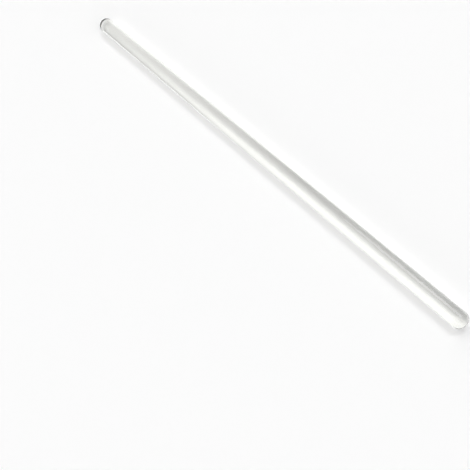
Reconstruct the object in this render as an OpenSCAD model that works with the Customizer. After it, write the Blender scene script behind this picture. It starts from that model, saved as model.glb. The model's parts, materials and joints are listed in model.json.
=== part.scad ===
// Glass stirring rod: one solid cylindrical rod of clear glass, fire polished
// at both ends so that each is a blunt round dome. It lies along X on Z = 0,
// with its middle over the origin.

/* [Rod] */
// Length over both rounded ends
rod_length = 200; // [100:1:350]
// Diameter of the straight shank
rod_d = 6.3; // [3:0.1:12]

/* [Ends] */
// Radius that fire polishing gives the rim of each end
end_round_r = 2.7; // [0.5:0.05:3.15]

/* [Finish] */
// Smoothness of the round surfaces
facets = 96; // [48:24:192]

/* [Hidden] */

// Colours
clear_glass = [0.90, 0.93, 0.91, 0.35];

// Shank
rod_r = rod_d / 2;

// Ends: the rounding reaches no further in than the rod's own axis, and what
// it doesn't reach stays flat
end_r = min(end_round_r, rod_r);
end_flat_r = rod_r - end_r;
shank_length = rod_length - 2 * end_r;

// Half of one end's section, from where the shank stops up to the tip
module end_section() {
    intersection() {
        translate([end_flat_r, 0])
            circle(r = end_r, $fn = facets);
        square([rod_r, end_r]);
    }
    if (end_flat_r > 0)
        square([end_flat_r, end_r]);
}

// Half of the rod's section through its axis, which stands upright
module half_section() {
    translate([0, -shank_length / 2])
        square([rod_r, shank_length]);
    for (flipped = [0, 1])
        mirror([0, flipped])
            translate([0, shank_length / 2])
                end_section();
}

// The whole rod, laid down on its side
module rod() {
    color(clear_glass)
        translate([0, 0, rod_r])
            rotate([0, 90, 0])
                rotate_extrude($fn = facets)
                    half_section();
}

rod();
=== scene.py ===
"""Looks of a glass stirring rod: one clear drawn rod with fire-polished ends, lying on a white table.

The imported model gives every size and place. All lengths are in metres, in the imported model's frame:
the rod lies along X, the table is at the foot of its box, and the viewer stands on its -Y side.
"""

import json
import logging
import math
from dataclasses import dataclass, field
from enum import Enum
from typing import Any

import bpy
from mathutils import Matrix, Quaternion, Vector


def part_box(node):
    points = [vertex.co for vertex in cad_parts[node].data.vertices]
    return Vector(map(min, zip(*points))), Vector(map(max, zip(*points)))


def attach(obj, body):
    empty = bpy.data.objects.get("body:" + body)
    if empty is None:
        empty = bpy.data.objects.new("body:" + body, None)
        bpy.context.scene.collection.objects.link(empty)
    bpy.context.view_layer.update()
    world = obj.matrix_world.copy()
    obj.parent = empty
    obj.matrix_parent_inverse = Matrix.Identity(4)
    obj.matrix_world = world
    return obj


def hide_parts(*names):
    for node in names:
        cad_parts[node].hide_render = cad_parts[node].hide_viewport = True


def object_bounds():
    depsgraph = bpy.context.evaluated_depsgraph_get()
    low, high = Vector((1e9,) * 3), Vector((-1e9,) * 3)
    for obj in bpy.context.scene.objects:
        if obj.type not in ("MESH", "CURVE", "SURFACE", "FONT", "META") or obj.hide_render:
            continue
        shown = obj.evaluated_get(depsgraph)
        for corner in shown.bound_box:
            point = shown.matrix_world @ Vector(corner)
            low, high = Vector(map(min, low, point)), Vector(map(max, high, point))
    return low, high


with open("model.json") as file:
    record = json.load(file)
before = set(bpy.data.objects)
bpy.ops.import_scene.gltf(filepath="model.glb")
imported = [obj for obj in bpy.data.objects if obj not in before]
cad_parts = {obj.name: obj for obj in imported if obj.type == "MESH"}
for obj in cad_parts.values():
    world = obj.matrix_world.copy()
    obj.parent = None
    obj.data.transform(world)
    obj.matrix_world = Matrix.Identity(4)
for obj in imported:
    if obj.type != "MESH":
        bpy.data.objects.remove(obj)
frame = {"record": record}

CAD_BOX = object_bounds()
MM = 0.001

log = logging.getLogger("stirring_rod")


class Ray(Enum):
    """The kinds of ray that a shader can tell apart, by the name of the Light Path socket."""

    CAMERA = "Is Camera Ray"
    GLOSSY = "Is Glossy Ray"
    TRANSMISSION = "Is Transmission Ray"


@dataclass
class Tree:
    """A thin wrapper that adds nodes to a node tree and joins them."""

    nodes: Any
    links: Any

    @classmethod
    def of_shader(cls, owner: Any) -> "Tree":
        """Empties the shader tree of a material or a world, and wraps it.

        Args:
            owner: The material or the world.

        Returns:
            The wrapped, empty tree.
        """
        owner.use_nodes = True
        owner.node_tree.nodes.clear()
        return cls(owner.node_tree.nodes, owner.node_tree.links)

    def add(self, kind: str, **settings: Any) -> Any:
        """Adds a node.

        Args:
            kind: The node's type name.
            settings: Properties to set on the node.

        Returns:
            The new node.
        """
        node = self.nodes.new(kind)
        for name, value in settings.items():
            setattr(node, name, value)
        return node

    def feed(self, socket: Any, value: Any) -> None:
        """Gives an input socket a plain value, or joins another node's output to it.

        Args:
            socket: The input socket.
            value: A number, a vector, a colour, a material or an output socket.
        """
        if isinstance(value, bpy.types.NodeSocket):
            self.links.new(value, socket)
        else:
            socket.default_value = value

    def calc(self, operation: str, *values: Any) -> Any:
        """Adds a Math node.

        Args:
            operation: The Math node's operation.
            values: One to three numbers or output sockets.

        Returns:
            The socket with the result.
        """
        node = self.add("ShaderNodeMath", operation=operation)
        for socket, value in zip(node.inputs, values):
            self.feed(socket, value)
        return node.outputs[0]

    def dot(self, first: Any, second: Any) -> Any:
        """Adds a dot product.

        Args:
            first: A vector or an output socket.
            second: A vector or an output socket.

        Returns:
            The socket with the result.
        """
        node = self.add("ShaderNodeVectorMath", operation="DOT_PRODUCT")
        self.feed(node.inputs[0], first)
        self.feed(node.inputs[1], second)
        return node.outputs["Value"]

    def spread(self, value: Any, old: tuple[Any, Any], new: tuple[Any, Any], smooth: bool = False) -> Any:
        """Adds a Map Range node that takes one range to another and stops at its ends.

        Args:
            value: The value to map.
            old: Where the old range starts and ends.
            new: Where the new range starts and ends.
            smooth: Eases in and out at the ends, instead of a straight line.

        Returns:
            The socket with the result.
        """
        kind = "SMOOTHSTEP" if smooth else "LINEAR"
        node = self.add("ShaderNodeMapRange", clamp=True, interpolation_type=kind)
        names = ("Value", "From Min", "From Max", "To Min", "To Max")
        for name, item in zip(names, (value, *old, *new)):
            self.feed(node.inputs[name], item)
        return node.outputs["Result"]

    def blend(self, share: Any, first: Any, second: Any) -> Any:
        """Adds a Mix node for plain numbers.

        Args:
            share: How much of the second value shows, from 0 to 1.
            first: The value at share 0.
            second: The value at share 1.

        Returns:
            The socket with the result.
        """
        node = self.add("ShaderNodeMix", data_type="FLOAT")
        for socket, value in zip(node.inputs[:1] + node.inputs[2:4], (share, first, second)):
            self.feed(socket, value)
        return node.outputs[0]

    def rays(self, *kinds: Ray) -> Any:
        """Tells the given kinds of ray from all others.

        Args:
            kinds: The kinds of ray.

        Returns:
            A socket that is 1 for a ray of any of these kinds, and otherwise 0.
        """
        paths = self.add("ShaderNodeLightPath").outputs
        told = paths[kinds[0].value]
        for kind in kinds[1:]:
            told = self.calc("MAXIMUM", told, paths[kind.value])
        return told


@dataclass(frozen=True)
class RodSizes:
    """Outer sizes of the rod, and the height at which its axis lies."""

    length: float
    diameter: float
    end_rounding: float
    axis_height: float

    @classmethod
    def from_frame(cls) -> "RodSizes":
        """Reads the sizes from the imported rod's box and the straight shank that its record states.

        Returns:
            The rod's sizes.
        """
        low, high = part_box("rod")
        size = high - low
        shank = next(mount for mount in frame["record"]["mounts"] if mount["name"] == "shank")
        rounding = (size.x - shank["dims"]["length_mm"] * MM) / 2
        return cls(size.x, min(size.y, size.z), rounding, (low.z + high.z) / 2)

    @property
    def radius(self) -> float:
        """Half the diameter."""
        return self.diameter / 2

    @property
    def shank_length(self) -> float:
        """Length between the two rounded ends."""
        return self.length - 2 * self.end_rounding


@dataclass(frozen=True)
class ClearGlass:
    """Colourless drawn glass, fire polished smooth, with faint draw lines along it."""

    tint: tuple[float, float, float] = (0.985, 0.988, 0.967)
    ior: float = 1.50
    line_depth: float = 0.0012 * MM
    line_width: float = 0.8 * MM
    line_length: float = 60 * MM
    line_detail: float = 2.0

    def material(self) -> bpy.types.Material:
        """Makes the glass material.

        Returns:
            The material.
        """
        material = bpy.data.materials.new("clear_glass")
        tree = Tree.of_shader(material)
        glass = tree.add("ShaderNodeBsdfPrincipled")
        glass.inputs["Base Color"].default_value = (*self.tint, 1.0)
        glass.inputs["Roughness"].default_value = 0.0
        glass.inputs["IOR"].default_value = self.ior
        glass.inputs["Transmission Weight"].default_value = 1.0
        tree.feed(glass.inputs["Normal"], self.draw_lines(tree))
        output = tree.add("ShaderNodeOutputMaterial")
        tree.feed(output.inputs["Surface"], glass.outputs["BSDF"])
        return material

    def draw_lines(self, tree: Tree) -> Any:
        """Adds the faint lengthwise unevenness that drawing leaves in the skin of the glass.

        Args:
            tree: The material's tree.

        Returns:
            The socket with the normal.
        """
        place = tree.add("ShaderNodeTexCoord")
        stretch = tree.add("ShaderNodeMapping")
        coarse, fine = 1 / self.line_length, 1 / self.line_width
        stretch.inputs["Scale"].default_value = (coarse, fine, fine)
        tree.feed(stretch.inputs["Vector"], place.outputs["Object"])
        streaks = tree.add("ShaderNodeTexNoise")
        streaks.inputs["Scale"].default_value = 1.0
        streaks.inputs["Detail"].default_value = self.line_detail
        tree.feed(streaks.inputs["Vector"], stretch.outputs["Vector"])
        bump = tree.add("ShaderNodeBump")
        bump.inputs["Strength"].default_value = 1.0
        bump.inputs["Distance"].default_value = self.line_depth
        tree.feed(bump.inputs["Height"], streaks.outputs["Fac"])
        return bump.outputs["Normal"]


@dataclass
class GlassRod:
    """The rod itself: a straight round shank that runs into a blunt polished dome at each end."""

    sizes: RodSizes
    finish: ClearGlass = field(default_factory=ClearGlass)
    around: int = 256
    dome_rows: int = 40
    shank_rows: int = 48
    wander: float = 0.006 * MM
    wander_length: float = 45 * MM
    wander_detail: float = 1.0
    tip_slack: float = 0.002 * MM
    tip_share: float = 0.001
    weld_distance: float = 0.001 * MM
    seed: float = 3.0

    def build(self) -> bpy.types.Object:
        """Makes the rod's mesh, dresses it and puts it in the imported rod's place.

        Returns:
            The finished rod.
        """
        rod = bpy.data.objects.new("glass_rod", self.mesh())
        bpy.context.scene.collection.objects.link(rod)
        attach(rod, "root")
        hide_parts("rod")
        return rod

    def mesh(self) -> bpy.types.Mesh:
        """Runs the node tree once and keeps its result as a plain mesh.

        Returns:
            The rod's mesh.
        """
        maker = bpy.data.objects.new("rod_maker", bpy.data.meshes.new("rod_maker"))
        bpy.context.scene.collection.objects.link(maker)
        values = self.values()
        modifier = maker.modifiers.new("Drawn rod", "NODES")
        modifier.node_group = self.tree(values)
        for socket in modifier.node_group.interface.items_tree:
            if socket.in_out == "INPUT":
                modifier[socket.identifier] = values[socket.name]
        bpy.context.view_layer.update()
        mesh = bpy.data.meshes.new_from_object(maker.evaluated_get(bpy.context.evaluated_depsgraph_get()))
        maker.modifiers.remove(modifier)
        bpy.data.objects.remove(maker)
        return mesh

    def values(self) -> dict[str, Any]:
        """Lists what the node tree is given.

        Returns:
            The value of each of the tree's inputs, by the input's name.
        """
        return {
            "Shank Length": self.sizes.shank_length - 2 * self.tip_slack,
            "Radius": self.sizes.radius,
            "End Rounding": self.sizes.end_rounding,
            "Axis Height": self.sizes.axis_height,
            "Around": self.around,
            "Dome Rows": self.dome_rows,
            "Shank Rows": self.shank_rows,
            "Wander": self.wander,
            "Wander Length": self.wander_length,
            "Seed": self.seed,
            "Glass": self.finish.material(),
        }

    def tree(self, values: dict[str, Any]) -> bpy.types.NodeTree:
        """Builds the tree that draws the rod: a flat grid wrapped round the rod's section.

        Args:
            values: What the tree will be given, by name.

        Returns:
            The node tree.
        """
        group = bpy.data.node_groups.new("Drawn rod", "GeometryNodeTree")
        tree = Tree(group.nodes, group.links)
        group.interface.new_socket("Geometry", in_out="OUTPUT", socket_type="NodeSocketGeometry")
        kinds = {float: "NodeSocketFloat", int: "NodeSocketInt"}
        for name, value in values.items():
            kind = kinds.get(type(value), "NodeSocketMaterial")
            group.interface.new_socket(name, in_out="INPUT", socket_type=kind)
        given = tree.add("NodeGroupInput").outputs
        rows = tree.calc("MULTIPLY_ADD", given["Dome Rows"], 2, given["Shank Rows"])
        grid = tree.add("GeometryNodeMeshGrid")
        tree.feed(grid.inputs["Size X"], 1.0)
        tree.feed(grid.inputs["Size Y"], 1.0)
        tree.feed(grid.inputs["Vertices X"], tree.calc("ADD", rows, 1))
        tree.feed(grid.inputs["Vertices Y"], tree.calc("ADD", given["Around"], 1))
        placed = tree.add("GeometryNodeSetPosition")
        tree.feed(placed.inputs["Geometry"], grid.outputs["Mesh"])
        tree.feed(placed.inputs["Position"], self.wrapped(tree, given, rows))
        merged = tree.add("GeometryNodeMergeByDistance")
        tree.feed(merged.inputs["Geometry"], placed.outputs["Geometry"])
        tree.feed(merged.inputs["Distance"], self.weld_distance)
        smooth = tree.add("GeometryNodeSetShadeSmooth")
        tree.feed(smooth.inputs["Geometry"], merged.outputs["Geometry"])
        realized = tree.add("GeometryNodeRealizeInstances")
        tree.feed(realized.inputs["Geometry"], smooth.outputs["Geometry"])
        dressed = tree.add("GeometryNodeSetMaterial")
        tree.feed(dressed.inputs["Geometry"], realized.outputs["Geometry"])
        tree.feed(dressed.inputs["Material"], given["Glass"])
        tree.feed(tree.add("NodeGroupOutput").inputs["Geometry"], dressed.outputs["Geometry"])
        return group

    def wrapped(self, tree: Tree, given: Any, rows: Any) -> Any:
        """Works out where each point of the flat grid goes on the rod's skin.

        Args:
            tree: The tree to add the nodes to.
            given: The tree's inputs.
            rows: The number of rows of faces from tip to tip.

        Returns:
            The socket with each point's place.
        """
        flat = tree.add("ShaderNodeSeparateXYZ")
        tree.feed(flat.inputs[0], tree.add("GeometryNodeInputPosition").outputs[0])
        along = tree.calc("ADD", flat.outputs["X"], 0.5)
        first = tree.calc("DIVIDE", given["Dome Rows"], rows)
        last = tree.calc("SUBTRACT", 1.0, first)
        quarter = math.pi / 2
        left = tree.spread(along, (0.0, first), (quarter, 0.0))
        right = tree.spread(along, (last, 1.0), (0.0, quarter))
        half = tree.calc("MULTIPLY", given["Shank Length"], 0.5)
        straight = tree.spread(along, (first, last), (tree.calc("MULTIPLY", half, -1.0), half))
        bulge = tree.calc("SUBTRACT", tree.calc("SINE", right), tree.calc("SINE", left))
        x = tree.calc("MULTIPLY_ADD", bulge, given["End Rounding"], straight)
        dip = tree.calc("MULTIPLY", tree.calc("COSINE", right), tree.calc("COSINE", left))
        core = tree.calc("SUBTRACT", given["Radius"], given["End Rounding"])
        # The rows at the two tips shrink to a point, which closes the ends.
        inner = tree.calc("MULTIPLY", core, tree.calc("GREATER_THAN", dip, self.tip_share))
        plain = tree.calc("MULTIPLY_ADD", dip, given["End Rounding"], inner)
        inset = tree.calc("MULTIPLY", self.unevenness(tree, given, x), dip)
        out = tree.calc("SUBTRACT", plain, inset)
        turn = tree.calc("MULTIPLY", flat.outputs["Y"], 2 * math.pi)
        place = tree.add("ShaderNodeCombineXYZ")
        tree.feed(place.inputs["X"], x)
        tree.feed(place.inputs["Y"], tree.calc("MULTIPLY", out, tree.calc("SINE", turn)))
        rise = tree.calc("MULTIPLY", out, tree.calc("COSINE", turn))
        tree.feed(place.inputs["Z"], tree.calc("ADD", rise, given["Axis Height"]))
        return place.outputs[0]

    def unevenness(self, tree: Tree, given: Any, x: Any) -> Any:
        """Adds how far the drawn skin lies inside its nominal radius, which wanders slowly along the rod.

        Args:
            tree: The tree to add the nodes to.
            given: The tree's inputs.
            x: The socket with the place along the rod.

        Returns:
            The socket with the inset in metres, never below zero.
        """
        noise = tree.add("ShaderNodeTexNoise", noise_dimensions="2D")
        spot = tree.add("ShaderNodeCombineXYZ")
        tree.feed(spot.inputs["X"], tree.calc("DIVIDE", x, given["Wander Length"]))
        tree.feed(spot.inputs["Y"], given["Seed"])
        tree.feed(noise.inputs["Vector"], spot.outputs[0])
        noise.inputs["Scale"].default_value = 1.0
        noise.inputs["Detail"].default_value = self.wander_detail
        return tree.calc("MULTIPLY", noise.outputs[0], given["Wander"])


@dataclass(frozen=True)
class MattWhite:
    """Matt white board, lifted a little where it is looked at, straight or through the glass."""

    colour: float = 0.93
    lift: float = 0.07

    def material(self) -> bpy.types.Material:
        """Makes the board's material.

        Returns:
            The material.
        """
        material = bpy.data.materials.new("white_board")
        tree = Tree.of_shader(material)
        matt = tree.add("ShaderNodeBsdfDiffuse")
        matt.inputs["Color"].default_value = (self.colour, self.colour, self.colour, 1.0)
        glow = tree.add("ShaderNodeEmission")
        tree.feed(glow.inputs["Strength"], tree.calc("MULTIPLY", tree.rays(*Ray), self.lift))
        both = tree.add("ShaderNodeAddShader")
        tree.feed(both.inputs[0], matt.outputs[0])
        tree.feed(both.inputs[1], glow.outputs[0])
        tree.feed(tree.add("ShaderNodeOutputMaterial").inputs["Surface"], both.outputs[0])
        return material


@dataclass
class Table:
    """The plain white table that the rod lies on."""

    finish: MattWhite = field(default_factory=MattWhite)
    reach: float = 3.0
    clearance: float = 0.02 * MM

    def build(self) -> bpy.types.Object:
        """Makes the table top.

        Returns:
            The table top.
        """
        z = CAD_BOX[0][2] - self.clearance
        corners = [(x * self.reach, y * self.reach, z) for x, y in ((-1, -1), (1, -1), (1, 1), (-1, 1))]
        mesh = bpy.data.meshes.new("table")
        mesh.from_pydata(corners, [], [(0, 1, 2, 3)])
        mesh.materials.append(self.finish.material())
        table = bpy.data.objects.new("table", mesh)
        bpy.context.scene.collection.objects.link(table)
        return table


@dataclass(frozen=True)
class SoftZone:
    """A soft-edged oval part of the light tent that shines at a level of its own. Angles are in degrees."""

    level: float
    lean: float
    slide: float
    half_width: float
    half_length: float
    softness: float

    def paint(self, tree: Tree, toward: Any, under: Any) -> Any:
        """Lays the zone over the light that is there already.

        Args:
            tree: The world's tree.
            toward: The socket with the direction looked in.
            under: The level of the light before this zone, as a number or a socket.

        Returns:
            The socket with the level after this zone.
        """
        lean = math.radians(self.lean)
        slide = math.radians(self.slide)
        up = Vector((0.0, -math.sin(lean), math.cos(lean)))
        centre = up * math.cos(slide) + Vector((math.sin(slide), 0.0, 0.0))
        across = Vector((0.0, -math.cos(lean), -math.sin(lean)))
        along = across.cross(centre)
        depth = tree.dot(toward, centre)
        reach = 0.0
        for axis, half in ((across, self.half_width), (along, self.half_length)):
            angle = tree.calc("ARCTAN2", tree.dot(toward, axis), depth)
            part = tree.calc("DIVIDE", angle, math.radians(half))
            reach = tree.calc("MULTIPLY_ADD", part, part, reach)
        inner = 1 - self.softness / 2
        outer = 1 + self.softness / 2
        share = tree.spread(tree.calc("SQRT", reach), (inner, outer), (1.0, 0.0), smooth=True)
        return tree.blend(share, under, self.level)


@dataclass
class LightTent:
    """Plain soft light round the table: white at the foot, dimmer above, with zones laid over it in turn."""

    foot: float = 1.0
    cloth: float = 0.77
    foot_height: float = 0.10
    cloth_height: float = 0.15
    overhead: SoftZone = SoftZone(1.65, lean=12, slide=54, half_width=12, half_length=100, softness=0.2)
    lamp: SoftZone = SoftZone(6.0, lean=-25, slide=-6, half_width=11, half_length=12, softness=0.15)
    opening: SoftZone = SoftZone(0.0, lean=41, slide=19, half_width=22, half_length=51, softness=0.2)
    front: SoftZone = SoftZone(1.8, lean=74, slide=39, half_width=17, half_length=70, softness=0.35)

    def build(self) -> bpy.types.World:
        """Makes the world and sets it on the scene.

        Returns:
            The world.
        """
        world = bpy.data.worlds.new("light_tent")
        tree = Tree.of_shader(world)
        toward = tree.add("ShaderNodeTexCoord").outputs["Generated"]
        height = tree.dot(toward, (0.0, 0.0, 1.0))
        heights = (self.foot_height, self.cloth_height)
        level = tree.spread(height, heights, (self.foot, self.cloth), smooth=True)
        for zone in (self.overhead, self.lamp, self.opening, self.front):
            level = zone.paint(tree, toward, level)
        background = tree.add("ShaderNodeBackground")
        tree.feed(background.inputs["Color"], (1.0, 1.0, 1.0, 1.0))
        tree.feed(background.inputs["Strength"], level)
        tree.feed(tree.add("ShaderNodeOutputWorld").inputs["Surface"], background.outputs[0])
        bpy.context.scene.world = world
        return world


@dataclass
class Eye:
    """The camera, placed from the middle of the rod's foot."""

    offset: tuple[float, float, float] = (0.1141, -0.07262, 0.20293)
    aim: tuple[float, float, float] = (0.02216, -0.03004, 0.00315)
    roll: float = math.radians(-19.454)
    lens: float = 47.489
    sensor: float = 36.0
    nearest: float = 0.01
    furthest: float = 20.0

    def build(self) -> bpy.types.Object:
        """Makes the camera and sets it on the scene.

        Returns:
            The camera.
        """
        low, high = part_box("rod")
        foot = Vector(((low.x + high.x) / 2, (low.y + high.y) / 2, low.z))
        data = bpy.data.cameras.new("eye")
        data.sensor_width = self.sensor
        data.lens = self.lens
        data.clip_start = self.nearest
        data.clip_end = self.furthest
        eye = bpy.data.objects.new("eye", data)
        bpy.context.scene.collection.objects.link(eye)
        eye.location = foot + Vector(self.offset)
        level = (foot + Vector(self.aim) - eye.location).to_track_quat("-Z", "Y")
        eye.rotation_mode = "QUATERNION"
        eye.rotation_quaternion = level @ Quaternion((0.0, 0.0, 1.0), self.roll)
        bpy.context.scene.camera = eye
        return eye


def main() -> None:
    """Builds the rod, the table, the light and the camera, in that order."""
    logging.basicConfig(level=logging.INFO, format="%(name)s: %(message)s")
    bpy.context.scene.view_settings.view_transform = "Standard"
    # The light that the rod gathers on the table stays as sharp as glass makes it.
    bpy.context.scene.cycles.blur_glossy = 0.0
    rod = GlassRod(RodSizes.from_frame()).build()
    log.info("%s: %d faces", rod.name, len(rod.data.polygons))
    for part in (Table(), LightTent(), Eye()):
        log.info("%s is in place", part.build().name)


if __name__ == "__main__":
    main()
